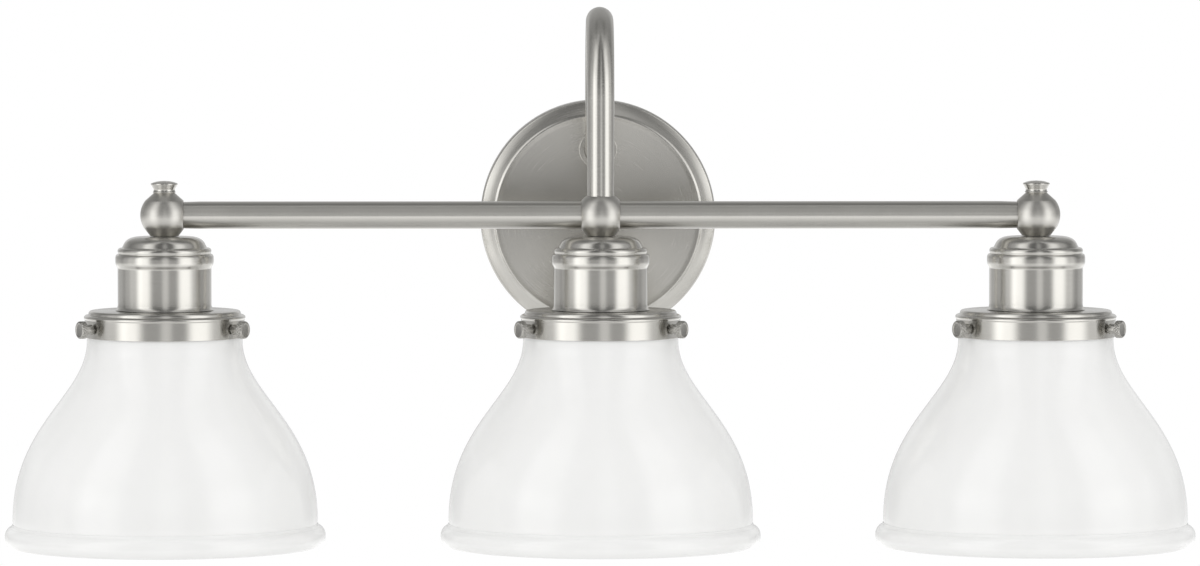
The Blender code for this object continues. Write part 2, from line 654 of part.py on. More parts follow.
def lead_in_arm(side_offset, depth_offset):
    """A lead's run through the arm, beside its centre line, and down behind the plate."""
    path = arm_path()
    frames = frames_along(path)
    run = []
    across = Vector((1, 0, 0))
    for point, frame in zip(path[1:-1:2], frames[1:-1:2]):
        inward = frame[0].cross(across)
        run.append(point + across * side_offset + inward * depth_offset)
    run.append(Vector((side_offset, -PLATE_DEPTH, ARM_PLATE_Z - depth_offset)))
    tail = OUTER_TAIL if side_offset else CENTRE_TAIL
    run += [Vector((share * side_offset, y, ARM_PLATE_Z + drop)) for share, y, drop in tail]
    return run


def make_leads(side, sign):
    """Sleeved pair from the lampholder through ball, bar and arm to the space behind the plate."""
    x = sign * LAMP_SPACING
    depth = LEAD_BACK if sign else -LEAD_FRONT
    y = LAMP_Y + depth
    start = CAVITY_TOP + BAR_Z + 1.0
    path = [Vector((x, y, start)), Vector((x, y, BAR_Z - 7.0))]
    if sign:
        turn = arc((0, 0), LEAD_TURN_R, 0, 90, 3)
        path += [Vector((x - sign * (LEAD_TURN_R - a), y, BAR_Z - LEAD_TURN_R + b)) for a, b in turn]
        rise = arc((0, 0), LEAD_RISE_R, 270, 180, 3)
        near = LEAD_SIDE + LEAD_RISE_R
        path.append(Vector((sign * (near + 2.0), y, BAR_Z)))
        path += [Vector((sign * (near + a), y, BAR_Z + LEAD_RISE_R + b)) for a, b in rise]
    path.append(Vector((sign * LEAD_SIDE, y, BAR_Z + 7.0)))
    path += lead_in_arm(sign * LEAD_SIDE, depth)
    name = "lamp_leads_" + side
    add_object(name, solid_rod(name, path, LEAD_R, LEAD_SEGMENTS), "lead_sleeve")


def make_connectors():
    """Two twist-on connectors that splice the fixture leads to the supply."""
    outline = [(0, 5.0), (3.4, 5.0), (3.4, 0), (5.4, 0), (5.4, 3.0), (4.6, 8.0), (3.6, 20.0)]
    outline += [(2.4, 21.4), (0, 21.4)]
    for name, sign in (("wire_connector_black", -1), ("wire_connector_white", 1)):
        mesh = turned_mesh(name, outline, SMALL_SEGMENTS)
        x, y, z = CONNECTOR_AT
        add_object(name, mesh, "connector_plastic", at(sign * x, y, z, turned_towards((sign, 0, 0))))


# ---------------------------------------------------------------- assembly

def main():
    clear_scene()
    make_canopy()
    make_crossbar()
    make_crossbar_hardware()
    make_ground_lead()
    make_arm()
    make_arm_fittings()
    make_connectors()
    for side, sign in LAMPS.items():
        x = sign * LAMP_SPACING
        make_ball(side, sign)
        if sign:
            make_finial(side, sign)
            make_bar(side, sign)
        make_cover(side, x)
        make_gallery(side, x)
        make_lampholder(side, x)
        make_lamp_hardware(side, x)
        make_thumbscrews(side, x)
        make_shade(side, x)
        make_leads(side, sign)


main()
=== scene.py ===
"""Looks of a three-light vanity light bar: satin nickel, opal glass bells and white porcelain sockets.

Metres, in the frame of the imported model. Turned outlines are (radius, height) in millimetres, with heights
from a lamp's ball centre or from the face that the piece stands on.
"""

import math

import bmesh
import bpy
from mathutils import Matrix, Vector


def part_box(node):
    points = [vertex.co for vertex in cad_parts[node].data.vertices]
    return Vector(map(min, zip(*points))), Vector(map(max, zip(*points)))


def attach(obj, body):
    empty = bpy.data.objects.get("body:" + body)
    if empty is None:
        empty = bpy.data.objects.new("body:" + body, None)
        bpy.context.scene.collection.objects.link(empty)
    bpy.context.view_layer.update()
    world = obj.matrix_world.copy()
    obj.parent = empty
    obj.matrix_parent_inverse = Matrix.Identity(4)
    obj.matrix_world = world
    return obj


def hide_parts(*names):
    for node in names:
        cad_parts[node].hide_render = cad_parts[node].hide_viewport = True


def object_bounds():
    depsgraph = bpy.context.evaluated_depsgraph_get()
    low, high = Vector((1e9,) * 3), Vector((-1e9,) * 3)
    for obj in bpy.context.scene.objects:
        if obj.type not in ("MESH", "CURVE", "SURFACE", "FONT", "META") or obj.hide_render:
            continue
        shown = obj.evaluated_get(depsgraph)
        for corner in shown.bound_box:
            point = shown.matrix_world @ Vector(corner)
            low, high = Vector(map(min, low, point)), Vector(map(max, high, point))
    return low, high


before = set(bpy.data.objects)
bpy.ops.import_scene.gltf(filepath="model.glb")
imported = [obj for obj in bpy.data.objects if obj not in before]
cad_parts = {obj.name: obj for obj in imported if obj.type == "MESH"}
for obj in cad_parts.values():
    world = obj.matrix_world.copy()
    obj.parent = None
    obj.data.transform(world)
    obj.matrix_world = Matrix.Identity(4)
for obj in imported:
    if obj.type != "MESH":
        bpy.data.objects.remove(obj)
cad_low, cad_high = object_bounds()

MM = 0.001
SIDES = ("left", "centre", "right")
SIGN = {"left": -1, "centre": 0, "right": 1}


def middle(node):
    low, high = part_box(node)
    return (low + high) / 2


BAR = middle("bar_tube_left")
LAMP_Y, BAR_Z = BAR.y, BAR.z
LAMP_X = {side: middle("socket_cover_" + side).x for side in SIDES}
SPACING = LAMP_X["right"]
PLATE = middle("backplate_canopy")
PLATE_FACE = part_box("backplate_canopy")[0].y
ARM_ENTRY_Z = middle("arm_collar").z
ARM_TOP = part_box("gooseneck_arm")[1].z

# millimetres and degrees
TUBE_R = 8.0
TUBE_SEAT = 9.3                # end of a tube, from the ball's centre
ARCH_R = 44.0                  # the arm's bends, on its centre line
LOWER_BEND_R = 24.0
SPIGOT_R = 5.0                 # the arm's threaded ends
SPIGOT_BORE_R = 3.9
SPIGOT_TIP = 6.0               # end of the front spigot, from the ball's centre
BORE_R = 5.4                   # clears a spigot or a lamp's nipple
BALL_R = 14.0
BALL_BORE = 9.0                # floor of each bore in a ball, from its centre
FOOT_ANGLE = -32               # where a ball meets its conical foot
STUD_R = 2.1
STUD_END = 26.1                # from the wall
STUD_HOLE_R = 2.7
BAND_R = 46.5                  # a gallery's outer face
SCREW_Z = -65.4
SCREW_ANGLES = (90, 210, 330)
SCREW_HOLE_R = 2.3
SHANK_R = 2.0                  # thumbscrew, with heights out from the gallery's face
SHANK_TIP = -3.1
NECK_H = 0.9
KNOB_R = 5.1
KNOB_TOP = 9.2
KNOB_FOOT = KNOB_TOP - 3.9
GLASS = 3.6                    # wall of a bell
SOCKET_PITCH = 3.63            # lamp thread, seven turns to the inch
SPLICE_Y = -10.0
LEAD_R = 1.3
LEAD_SIDE = 1.7                # the three leads lie in a triangle inside the arm
LEAD_FRONT = 1.95
LEAD_BACK = 0.98
LEAD_TURN_R = 6.0              # from nipple into bar
LEAD_RISE_R = 4.8              # from bar up into the arm
TAIL_R = 0.55
GROUND_WIRE_R = 0.9
# how a lead drops behind the plate: share of its side offset, y, and height from the arm's entry
SIDE_LEAD_DROP = ((1.0, -11.3, -LEAD_BACK), (1.4, -8.6, -2.8), (1.9, -8.2, -8.0), (2.0, -9.5, -14.0))
CENTRE_LEAD_DROP = ((0.0, -11.3, LEAD_FRONT), (0.0, -6.0, 0.6), (0.0, -4.4, -5.0), (0.0, -4.8, -14.0))


# ---------------------------------------------------------------- shape helpers

def softened(corners, steps=4):
    """A closed outline from (radius, height, softening) corners. A softening over 0 rounds that corner."""
    points = []
    count = len(corners)
    for i, (r, h, *soft) in enumerate(corners):
        size = soft[0] if soft else 0.0
        here = Vector((r, h))
        if size <= 0:
            points.append(here)
            continue
        before = Vector(corners[i - 1][:2]) - here
        after = Vector(corners[(i + 1) % count][:2]) - here
        start = here + before.normalized() * min(size, before.length * 0.48)
        end = here + after.normalized() * min(size, after.length * 0.48)
        for k in range(steps + 1):
            t = k / steps
            points.append(start * (1 - t) ** 2 + here * 2 * t * (1 - t) + end * t * t)
    return points


def arc(centre, radius, start_deg, end_deg, steps):
    points = []
    for i in range(steps + 1):
        angle = math.radians(start_deg + (end_deg - start_deg) * i / steps)
        points.append(Vector((centre[0] + radius * math.cos(angle), centre[1] + radius * math.sin(angle))))
    return points


def bezier(p0, p1, p2, p3, steps):
    points = []
    for i in range(steps + 1):
        t = i / steps
        u = 1 - t
        points.append(Vector(p0) * u ** 3 + Vector(p1) * 3 * u * u * t
                      + Vector(p2) * 3 * u * t * t + Vector(p3) * t ** 3)
    return points


def divided(start, end, steps):
    """Points on a straight stretch, without its end."""
    a, b = Vector(start), Vector(end)
    return [a.lerp(b, i / steps) for i in range(steps)]


def mesh_of(name, points, faces):
    mesh = bpy.data.meshes.new(name)
    mesh.from_pydata([tuple(p) for p in points], [], faces)
    work = bmesh.new()
    work.from_mesh(mesh)
    bmesh.ops.remove_doubles(work, verts=work.verts, dist=1e-7)
    bmesh.ops.recalc_face_normals(work, faces=work.faces)
    work.to_mesh(mesh)
    work.free()
    return mesh


def turned_mesh(name, outline, segments=96, shape=None):
    """A closed outline in mm turned about Z. shape(radius, height, angle) may change the radius."""
    points = []
    faces = []
    rows = []
    for radius, height in outline:
        if radius < 1e-4:
            rows.append([len(points)] * segments)
            points.append(Vector((0, 0, height)) * MM)
            continue
        rows.append(list(range(len(points), len(points) + segments)))
        for i in range(segments):
            angle = 2 * math.pi * i / segments
            reach = shape(radius, height, angle) if shape else radius
            points.append(Vector((reach * math.cos(angle), reach * math.sin(angle), height)) * MM)
    for lower, upper in zip(rows, rows[1:] + rows[:1]):
        if lower[0] == lower[1] and upper[0] == upper[1]:
            continue
        for i in range(segments):
            j = (i + 1) % segments
            corners = [lower[i], lower[j], upper[j], upper[i]]
            faces.append([c for n, c in enumerate(corners) if c not in corners[:n]])
    return mesh_of(name, points, faces)


def drill_mesh(radius, reach, segments=32):
    """A plain cylinder in mm, reach long both ways along Z, to cut a hole with."""
    return turned_mesh("drill", [(0, -reach), (radius, -reach), (radius, reach), (0, reach)], segments)


def facing(axis):
    """The turn that lays a piece made about +Z along another axis."""
    return Vector(axis).to_track_quat("Z", "Y").to_matrix().to_4x4()


def place_at(point, turn=None):
    move = Matrix.Translation(Vector(point))
    return move @ turn if turn is not None else move


def finish_piece(name, mesh, place, material, node, body="root", sharp=32.0):
    """Links a mesh, gives it its material, and says which node and body it stands for."""
    piece = bpy.data.objects.new(name, mesh)
    bpy.context.scene.collection.objects.link(piece)
    piece.matrix_world = place
    mesh.materials.clear()
    mesh.materials.append(material)
    mesh.shade_smooth()
    mesh.set_sharp_from_angle(angle=math.radians(sharp))
    even = piece.modifiers.new("even_normals", "WEIGHTED_NORMAL")
    even.keep_sharp = True
    even.weight = 90
    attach(piece, body)
    if node:
        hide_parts(node)
    return piece


def cut_mesh(mesh, cutters):
    """The mesh less each (mesh, place) cutter, as a new mesh."""
    base = bpy.data.objects.new("cut_base", mesh)
    bpy.context.scene.collection.objects.link(base)
    tools = []
    for cutter, place in cutters:
        tool = bpy.data.objects.new("cut_tool", cutter)
        bpy.context.scene.collection.objects.link(tool)
        tool.matrix_world = place
        step = base.modifiers.new("cut", "BOOLEAN")
        step.operation = "DIFFERENCE"
        step.solver = "EXACT"
        step.object = tool
        tools.append(tool)
    bpy.context.view_layer.update()
    graph = bpy.context.evaluated_depsgraph_get()
    result = bpy.data.meshes.new_from_object(base.evaluated_get(graph))
    for thing in [base] + tools:
        bpy.data.objects.remove(thing)
    return result


def frames_along(path):
    """A tangent and two side vectors at each point of a path, turned as little as possible."""
    frames = []
    side = None
    for i in range(len(path)):
        tangent = (path[min(i + 1, len(path) - 1)] - path[max(i - 1, 0)]).normalized()
        if side is None:
            side = Vector((1, 0, 0)) if abs(tangent.x) < 0.9 else Vector((0, 1, 0))
        side = (side - tangent * side.dot(tangent)).normalized()
        frames.append((tangent, side, tangent.cross(side)))
    return frames


def swept_mesh(name, stations, segments):
    """A skin round rings (point, side, up, radius), all in metres, with flat ends.

    Its map runs along the course in metres and once round it.
    """
    points = []
    faces = []
    lengths = [0.0]
    for (before, *_), (after, *_) in zip(stations, stations[1:]):
        lengths.append(lengths[-1] + (after - before).length)
    for point, side, up, radius in stations:
        for i in range(segments):
            angle = 2 * math.pi * i / segments
            points.append(point + side * radius * math.cos(angle) + up * radius * math.sin(angle))
    count = len(stations)
    for k in range(count - 1):
        for i in range(segments):
            j = (i + 1) % segments
            a, b = k * segments, (k + 1) * segments
            faces.append([a + i, a + j, b + j, b + i])
    faces.append(list(range(segments)))
    faces.append([(count - 1) * segments + i for i in range(segments)])
    mesh = mesh_of(name, points, faces)
    course = mesh.uv_layers.new(name="course")
    for face in mesh.polygons:
        around = [corner % segments for corner in face.vertices]
        wraps = max(around) - min(around) > segments / 2
        for loop, corner in zip(face.loop_indices, face.vertices):
            ring, place = divmod(corner, segments)
            turn = place + segments if wraps and place < segments / 2 else place
            course.data[loop].uv = (lengths[ring], turn / segments)
    return mesh


def rod_mesh(name, path, radius, segments=16):
    return swept_mesh(name, [(p, f[1], f[2], radius) for p, f in zip(path, frames_along(path))], segments)


def smooth_path(corners, steps=8):
    """A smooth curve through given points."""
    path = []
    last = len(corners) - 1
    points = [Vector(c) for c in corners]
    for i in range(last):
        before, a, b, after = points[max(i - 1, 0)], points[i], points[i + 1], points[min(i + 2, last)]
        for s in range(steps):
            t = s / steps
            path.append(0.5 * (2 * a + (b - before) * t + (2 * before - 5 * a + 4 * b - after) * t * t
                               + (3 * a - before - 3 * b + after) * t ** 3))
    path.append(points[last])
    return path


def hexagon(across):
    """A shape for a nut: no radius reaches past a hexagon of this width across flats."""
    def shape(radius, height, angle):
        turn = (angle + math.pi / 6) % (math.pi / 3) - math.pi / 6
        return min(radius, across / 2 / math.cos(turn))
    return shape


def thread(pitch, depth):
    """A shape for a screw thread: the radius dips by depth along a helix."""
    def shape(radius, height, angle):
        phase = height / pitch - angle / (2 * math.pi)
        return radius - depth * (0.5 - 0.5 * math.cos(2 * math.pi * phase))
    return shape


# ---------------------------------------------------------------- materials

class Nodes:
    """Short calls for building a node tree."""

    def __init__(self, tree):
        self.tree = tree

    def add(self, kind, **settings):
        node = self.tree.nodes.new(kind)
        for key, value in settings.items():
            setattr(node, key, value)
        return node

    def link(self, source, target):
        self.tree.links.new(source, target)

    def feed(self, node, values):
        """Sets or links inputs by name or number."""
        for key, value in values.items():
            if isinstance(value, bpy.types.NodeSocket):
                self.link(value, node.inputs[key])
            else:
                node.inputs[key].default_value = value
        return node

    def math(self, operation, *values):
        node = self.add("ShaderNodeMath", operation=operation)
        return self.feed(node, dict(enumerate(values))).outputs[0]

    def noise(self, vector, scale, detail=3.0, roughness=0.55):
        node = self.add("ShaderNodeTexNoise")
        self.feed(node, {"Vector": vector, "Scale": scale, "Detail": detail, "Roughness": roughness})
        return node.outputs["Fac"]

    def spread(self, value, low, high, from_low=0.0, from_high=1.0):
        node = self.add("ShaderNodeMapRange")
        self.feed(node, {"Value": value, "From Min": from_low, "From Max": from_high})
        self.feed(node, {"To Min": low, "To Max": high})
        return node.outputs["Result"]

    def bump(self, height, strength, distance):
        node = self.add("ShaderNodeBump")
        self.feed(node, {"Height": height, "Strength": strength, "Distance": distance})
        return node.outputs["Normal"]

    def tint(self, factor, dark, light):
        node = self.add("ShaderNodeMix", data_type="RGBA")
        self.link(factor, node.inputs[0])
        node.inputs[6].default_value = (*dark, 1)
        node.inputs[7].default_value = (*light, 1)
        return node.outputs[2]


def new_material(name):
    made = bpy.data.materials.new(name)
    made.use_nodes = True
    nodes = Nodes(made.node_tree)
    return made, nodes, made.node_tree.nodes["Principled BSDF"]


def lathe_grain(nodes, fine=9000.0, around=2.2):
    """Noise in fine rings round the piece's own Z axis, as a brush leaves on turning work."""
    place = nodes.add("ShaderNodeTexCoord").outputs["Object"]
    parts = nodes.add("ShaderNodeSeparateXYZ")
    nodes.link(place, parts.inputs[0])
    x, y, z = parts.outputs
    squares = nodes.math("ADD", nodes.math("MULTIPLY", x, x), nodes.math("MULTIPLY", y, y))
    radius = nodes.math("SQRT", squares)
    safe = nodes.math("MAXIMUM", radius, 1e-5)
    across = nodes.math("ADD", nodes.math("MULTIPLY", z, fine), nodes.math("MULTIPLY", radius, fine * 0.83))
    bent = nodes.add("ShaderNodeCombineXYZ")
    nodes.feed(bent, {
        0: nodes.math("MULTIPLY", nodes.math("DIVIDE", x, safe), around),
        1: nodes.math("MULTIPLY", nodes.math("DIVIDE", y, safe), around),
        2: across,
    })
    return place, nodes.noise(bent.outputs[0], 1.0, 2.0, 0.6)


def course_grain(nodes, fine=2500.0, around=2.2):
    """The same fine rings on a bent tube, from the map that runs along it and once round it."""
    parts = nodes.add("ShaderNodeSeparateXYZ")
    nodes.link(nodes.add("ShaderNodeUVMap").outputs[0], parts.inputs[0])
    turn = nodes.math("MULTIPLY", parts.outputs[1], 2 * math.pi)
    bent = nodes.add("ShaderNodeCombineXYZ")
    nodes.feed(bent, {
        0: nodes.math("MULTIPLY", nodes.math("COSINE", turn), around),
        1: nodes.math("MULTIPLY", nodes.math("SINE", turn), around),
        2: nodes.math("MULTIPLY", parts.outputs[0], fine),
    })
    return nodes.noise(bent.outputs[0], 1.0, 2.0, 0.6)


NICKEL_DARK = (0.52, 0.508, 0.475)
NICKEL_LIGHT = (0.59, 0.578, 0.545)


def nickel(name, roughness=0.24, anisotropy=0.85, grain=0.05, along_uv=False, shade=1.0):
    """Satin nickel: fine rings of brushing, a sheen drawn out across them, and faint cloudy toning.

    A shade below 1 darkens the metal: painted shade, a darker copy of the nickel for faces that reflect dark
    surroundings.
    """
    made, nodes, shader = new_material(name)
    place, rings = lathe_grain(nodes)
    if along_uv:
        rings = course_grain(nodes)
        tangent = nodes.add("ShaderNodeTangent", direction_type="UV_MAP")
    else:
        tangent = nodes.add("ShaderNodeTangent", direction_type="RADIAL", axis="Z")
        shader.inputs["Anisotropic Rotation"].default_value = 0.25
    # a shade below 1 scales both ends of the tone down, which paints shade into the colour
    dark = tuple(c * shade for c in NICKEL_DARK)
    light = tuple(c * shade for c in NICKEL_LIGHT)
    cloud = nodes.noise(place, 38.0, 4.0)
    tone = nodes.math("ADD", nodes.math("MULTIPLY", rings, 0.6), nodes.math("MULTIPLY", cloud, 0.4))
    nodes.feed(shader, {
        "Base Color": nodes.tint(nodes.spread(tone, 0.0, 1.0, 0.3, 0.7), dark, light),
        "Metallic": 1.0,
        "Roughness": nodes.spread(tone, roughness - 0.04, roughness + 0.04, 0.25, 0.75),
        "Anisotropic": anisotropy,
        "Normal": nodes.bump(rings, grain, 0.00006),
        "Tangent": tangent.outputs[0],
    })
    return made


def plain_metal(name, colour, roughness, scale=260.0, bump=0.08):
    """Unpolished plated metal with a fine random texture."""
    made, nodes, shader = new_material(name)
    place = nodes.add("ShaderNodeTexCoord").outputs["Object"]
    speck = nodes.noise(place, scale * 10, 3.0)
    cloud = nodes.noise(place, scale * 0.3, 3.0)
    low = tuple(c * 0.86 for c in colour)
    nodes.feed(shader, {
        "Base Color": nodes.tint(cloud, low, colour),
        "Metallic": 1.0,
        "Roughness": nodes.spread(cloud, roughness - 0.08, roughness + 0.08, 0.3, 0.7),
        "Normal": nodes.bump(speck, bump, 0.0001),
    })
    return made


def opal(name):
    """Cased white glass: a glossy skin over a milky body, with the faint waves of mould-blown work."""
    made, nodes, shader = new_material(name)
    place = nodes.add("ShaderNodeTexCoord").outputs["Object"]
    milk = nodes.noise(place, 22.0, 3.0)
    waves = nodes.noise(place, 16.0, 1.0)
    thin, thick = (0.925, 0.925, 0.915), (0.945, 0.945, 0.935)
    nodes.feed(shader, {
        "Base Color": nodes.tint(nodes.spread(milk, 0.0, 1.0, 0.35, 0.65), thin, thick),
        "Roughness": nodes.spread(milk, 0.045, 0.075, 0.3, 0.7),
        "IOR": 1.5,
        "Normal": nodes.bump(waves, 0.12, 0.0008),
    })
    return made


def dielectric(name, dark, light, roughness, scale, bump, distance=0.0002):
    """Porcelain, moulded plastic and woven sleeve: a coloured body with its own fine texture."""
    made, nodes, shader = new_material(name)
    place = nodes.add("ShaderNodeTexCoord").outputs["Object"]
    body = nodes.noise(place, scale, 4.0)
    skin = nodes.noise(place, scale * 8, 2.0)
    nodes.feed(shader, {
        "Base Color": nodes.tint(nodes.spread(body, 0.0, 1.0, 0.3, 0.7), dark, light),
        "Roughness": nodes.spread(skin, roughness - 0.05, roughness + 0.05, 0.3, 0.7),
        "Normal": nodes.bump(skin, bump, distance),
    })
    return made


NICKEL = nickel("nickel_turned")
NICKEL_BALL = nickel("nickel_ball", roughness=0.36, anisotropy=0.0, grain=0.04)
NICKEL_TUBE = nickel("nickel_tube", roughness=0.32, anisotropy=0.9, grain=0.03)
NICKEL_ARM = nickel("nickel_arm", roughness=0.25, anisotropy=0.85, grain=0.012, along_uv=True)
NICKEL_PLATE = nickel("nickel_plate", roughness=0.25, anisotropy=0.8, grain=0.004)
# darkened copy of the nickel: painted shade on the knurled knobs and cap nuts, whose faces reflect dark
# surroundings
NICKEL_KNURL_PAINTED_SHADE = nickel("nickel_knurled_painted_shade", roughness=0.25, anisotropy=0.0, grain=0.02, shade=0.76)
ZINC = plain_metal("zinc_plated", (0.62, 0.62, 0.60), 0.38)
ALUMINIUM = plain_metal("rolled_aluminium", (0.80, 0.80, 0.80), 0.30)
BRASS = plain_metal("spring_brass", (0.75, 0.56, 0.27), 0.32)
GREEN_SCREW = plain_metal("green_screw", (0.10, 0.42, 0.18), 0.35)
OPAL = opal("opal_glass")
PORCELAIN = dielectric("porcelain", (0.84, 0.83, 0.78), (0.90, 0.89, 0.85), 0.16, 60.0, 0.05)
SLEEVE = dielectric("woven_sleeve", (0.62, 0.59, 0.50), (0.84, 0.81, 0.72), 0.75, 420.0, 0.6)
WIRE_BLACK = dielectric("wire_black", (0.015, 0.015, 0.016), (0.03, 0.03, 0.032), 0.42, 200.0, 0.1)
WIRE_WHITE = dielectric("wire_white", (0.72, 0.72, 0.70), (0.82, 0.82, 0.80), 0.42, 200.0, 0.1)
WIRE_GREEN = dielectric("wire_green", (0.03, 0.26, 0.09), (0.05, 0.34, 0.13), 0.42, 200.0, 0.1)
PLASTIC = dielectric("connector_plastic", (0.66, 0.27, 0.04), (0.78, 0.34, 0.06), 0.42, 90.0, 0.12)


# ---------------------------------------------------------------- wall plate

def make_plate():
    """Spun plate: a flat face, a fine step, a low sloping ring and a coved rim, open to the wall."""
    depth = -PLATE_FACE / MM
    rim, wall = 70.5, 1.2
    outline = softened([
        (0, depth), (59.0, depth, 1.2), (61.2, depth + 0.3, 0.5), (62.5, depth - 0.4, 0.35),
        (66.0, depth - 1.22, 3.4), (69.8, depth - 2.75, 0.8), (rim, depth - 5.4, 1.2),
        (rim, 0.0, 0.3), (rim - wall, 0.0, 0.3), (rim - wall, depth - 6.4, 1.4), (66.0, depth - 2.8, 2.0),
        (61.0, depth - wall, 0.8), (0, depth - wall),
    ])
    front = facing((0, -1, 0))
    reach = 4.0
    holes = [(drill_mesh(BORE_R, reach, 40), (0, 0, ARM_ENTRY_Z - PLATE.z))]
    for side in ("left", "right"):
        holes.append((drill_mesh(STUD_HOLE_R, reach), (middle("cap_nut_" + side).x, 0, 0)))
    face = Vector((0, 0, depth * MM))
    cutters = [(drill, place_at(front.inverted() @ Vector(spot) + face)) for drill, spot in holes]
    mesh = cut_mesh(turned_mesh("plate", outline, 160), cutters)
    place = place_at((PLATE.x, 0, PLATE.z), front)
    finish_piece("plate", mesh, place, NICKEL_PLATE, "backplate_canopy")


def make_collar():
    """Low disc with eased edges round the arm, on the plate."""
    outline = softened([
        (8.2, 0), (11.6, 0, 0.2), (11.6, 2.6, 0.3), (11.1, 3.2, 0.2), (8.4, 3.2, 0.15), (8.2, 3.0, 0.1),
    ])
    place = place_at((0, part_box("arm_collar")[1].y, ARM_ENTRY_Z), facing((0, -1, 0)))
    finish_piece("collar", turned_mesh("collar", outline), place, NICKEL, "arm_collar")


STRIP_EDGE = 0.15              # rounding of the crossbar's edges


def strip_mesh(name, splines, thick):
    """A flat strip from closed 2-D outlines in mm, extruded with small rounded edges."""
    curve = bpy.data.curves.new(name, "CURVE")
    curve.dimensions = "2D"
    curve.fill_mode = "BOTH"
    curve.extrude = thick / 2 - STRIP_EDGE * MM
    curve.bevel_depth = STRIP_EDGE * MM
    curve.bevel_resolution = 1
    for points in splines:
        spline = curve.splines.new("POLY")
        spline.points.add(len(points) - 1)
        for knot, (x, y) in zip(spline.points, points):
            knot.co = (x * MM, y * MM, 0, 1)
        spline.use_cyclic_u = True
    holder = bpy.data.objects.new(name, curve)
    bpy.context.scene.collection.objects.link(holder)
    graph = bpy.context.evaluated_depsgraph_get()
    mesh = bpy.data.meshes.new_from_object(holder.evaluated_get(graph))
    bpy.data.objects.remove(holder)
    return mesh


def slot_outline(x, half, radius, steps=12):
    """Two half circles joined by straight sides."""
    points = []
    for sign, start in ((1, -90), (-1, 90)):
        points += [(x + sign * half + p.x, p.y) for p in arc((0, 0), radius, start, start + 180, steps)]
    return points


def hole_outline(x, radius, count=24):
    return [tuple(p) for p in arc((x, 0), radius, 0, 360 - 360 / count, count - 1)]


def make_crossbar():
    """Zinc-plated strip with two slots, two stud holes and the ground screw's hole."""
    low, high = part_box("mounting_crossbar")
    half_x, half_z = (high.x - low.x) / 2 / MM, (high.z - low.z) / 2 / MM
    corner = 5.0
    slot_x, slot_half, slot_r = 30.5, 4.6, 2.4
    stud_hole_r, screw_hole_r = 2.45, 2.6
    outer = []
    for sx, sz, start in ((1, 1, 0), (-1, 1, 90), (-1, -1, 180), (1, -1, 270)):
        centre = (sx * (half_x - corner), sz * (half_z - corner))
        outer += [tuple(p) for p in arc(centre, corner - STRIP_EDGE, start, start + 90, 8)]
    splines = [outer, slot_outline(-slot_x, slot_half, slot_r), slot_outline(slot_x, slot_half, slot_r)]
    for node in ("crossbar_stud_left", "crossbar_stud_right"):
        splines.append(hole_outline(middle(node).x / MM, stud_hole_r))
    splines.append(hole_outline(middle("ground_screw").x / MM, screw_hole_r))
    place = place_at((low + high) / 2, facing((0, -1, 0)))
    finish_piece("crossbar", strip_mesh("crossbar", splines, high.y - low.y), place, ZINC,
                 "mounting_crossbar")


def make_studs():
    """Threaded studs through the plate, each with a domed cap nut."""
    front = facing((0, -1, 0))
    foot, chamfer = 0.3, 0.4
    pitch, depth = 0.8, 0.35
    shank_low, shank_high = (STUD_R, foot + 0.5), (STUD_R, STUD_END - 0.5)
    stud = [(0, foot)] + divided((STUD_R - chamfer, foot), shank_low, 2)
    stud += divided(shank_low, shank_high, 100)
    stud += [Vector(shank_high), Vector((STUD_R - chamfer, STUD_END)), Vector((0, STUD_END))]
    nut = softened([
        (0, 0.05), (2.4, 0.05), (5.2, 0.05), (5.55, 0.4, 0.2), (5.55, 3.0, 0.2), (5.0, 3.5, 0.3),
        (4.4, 3.7, 0.3), (4.35, 6.0, 1.2), (3.0, 8.3, 1.4), (0, 9.0),
    ], 5)
    for side in ("left", "right"):
        at = middle("crossbar_stud_" + side)
        mesh = turned_mesh("stud", stud, 24, thread(pitch, depth))
        finish_piece("stud_" + side, mesh, place_at((at.x, 0, at.z), front), ZINC,
                     "crossbar_stud_" + side, sharp=60)
        mesh = turned_mesh("cap_nut", nut, 72, hexagon(10.0))
        finish_piece("cap_nut_piece_" + side, mesh, place_at((at.x, PLATE_FACE, at.z), front), NICKEL_KNURL_PAINTED_SHADE,
                     "cap_nut_" + side, sharp=25)


def make_ground_screw():
    """Green screw with a hexagonal head on a round flange."""
    flange_top = 2.65
    outline = softened([
        (0, 0.3), (2.3, 0.3), (2.3, 1.9), (5.0, 1.9, 0.1), (5.0, 2.4, 0.2), (4.0, 2.6), (4.6, 2.7),
        (4.6, 4.4, 0.3), (3.9, 4.8, 0.2), (0, 4.9),
    ])

    def head(radius, height, angle):
        return hexagon(7.9)(radius, height, angle) if height > flange_top else radius
    at = middle("ground_screw")
    place = place_at((at.x, 0, at.z), facing((0, -1, 0)))
    finish_piece("ground_screw_piece", turned_mesh("ground_screw", outline, 72, head), place, GREEN_SCREW,
                 "ground_screw", sharp=25)


def make_locknut():
    """Hexagonal nut with chamfered corners on the arm's rear spigot."""
    low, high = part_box("arm_locknut")
    thick = (high.y - low.y) / MM
    outline = softened([
        (5.2, 0, 0.2), (7.6, 0), (8.4, 0.5), (8.4, thick - 0.5), (7.6, thick), (5.2, thick, 0.2),
    ])
    place = place_at((0, low.y, ARM_ENTRY_Z), facing((0, 1, 0)))
    finish_piece("locknut", turned_mesh("locknut", outline, 72, hexagon(15.0)), place, ZINC,
                 "arm_locknut", sharp=25)


# ---------------------------------------------------------------- arm, bar and balls

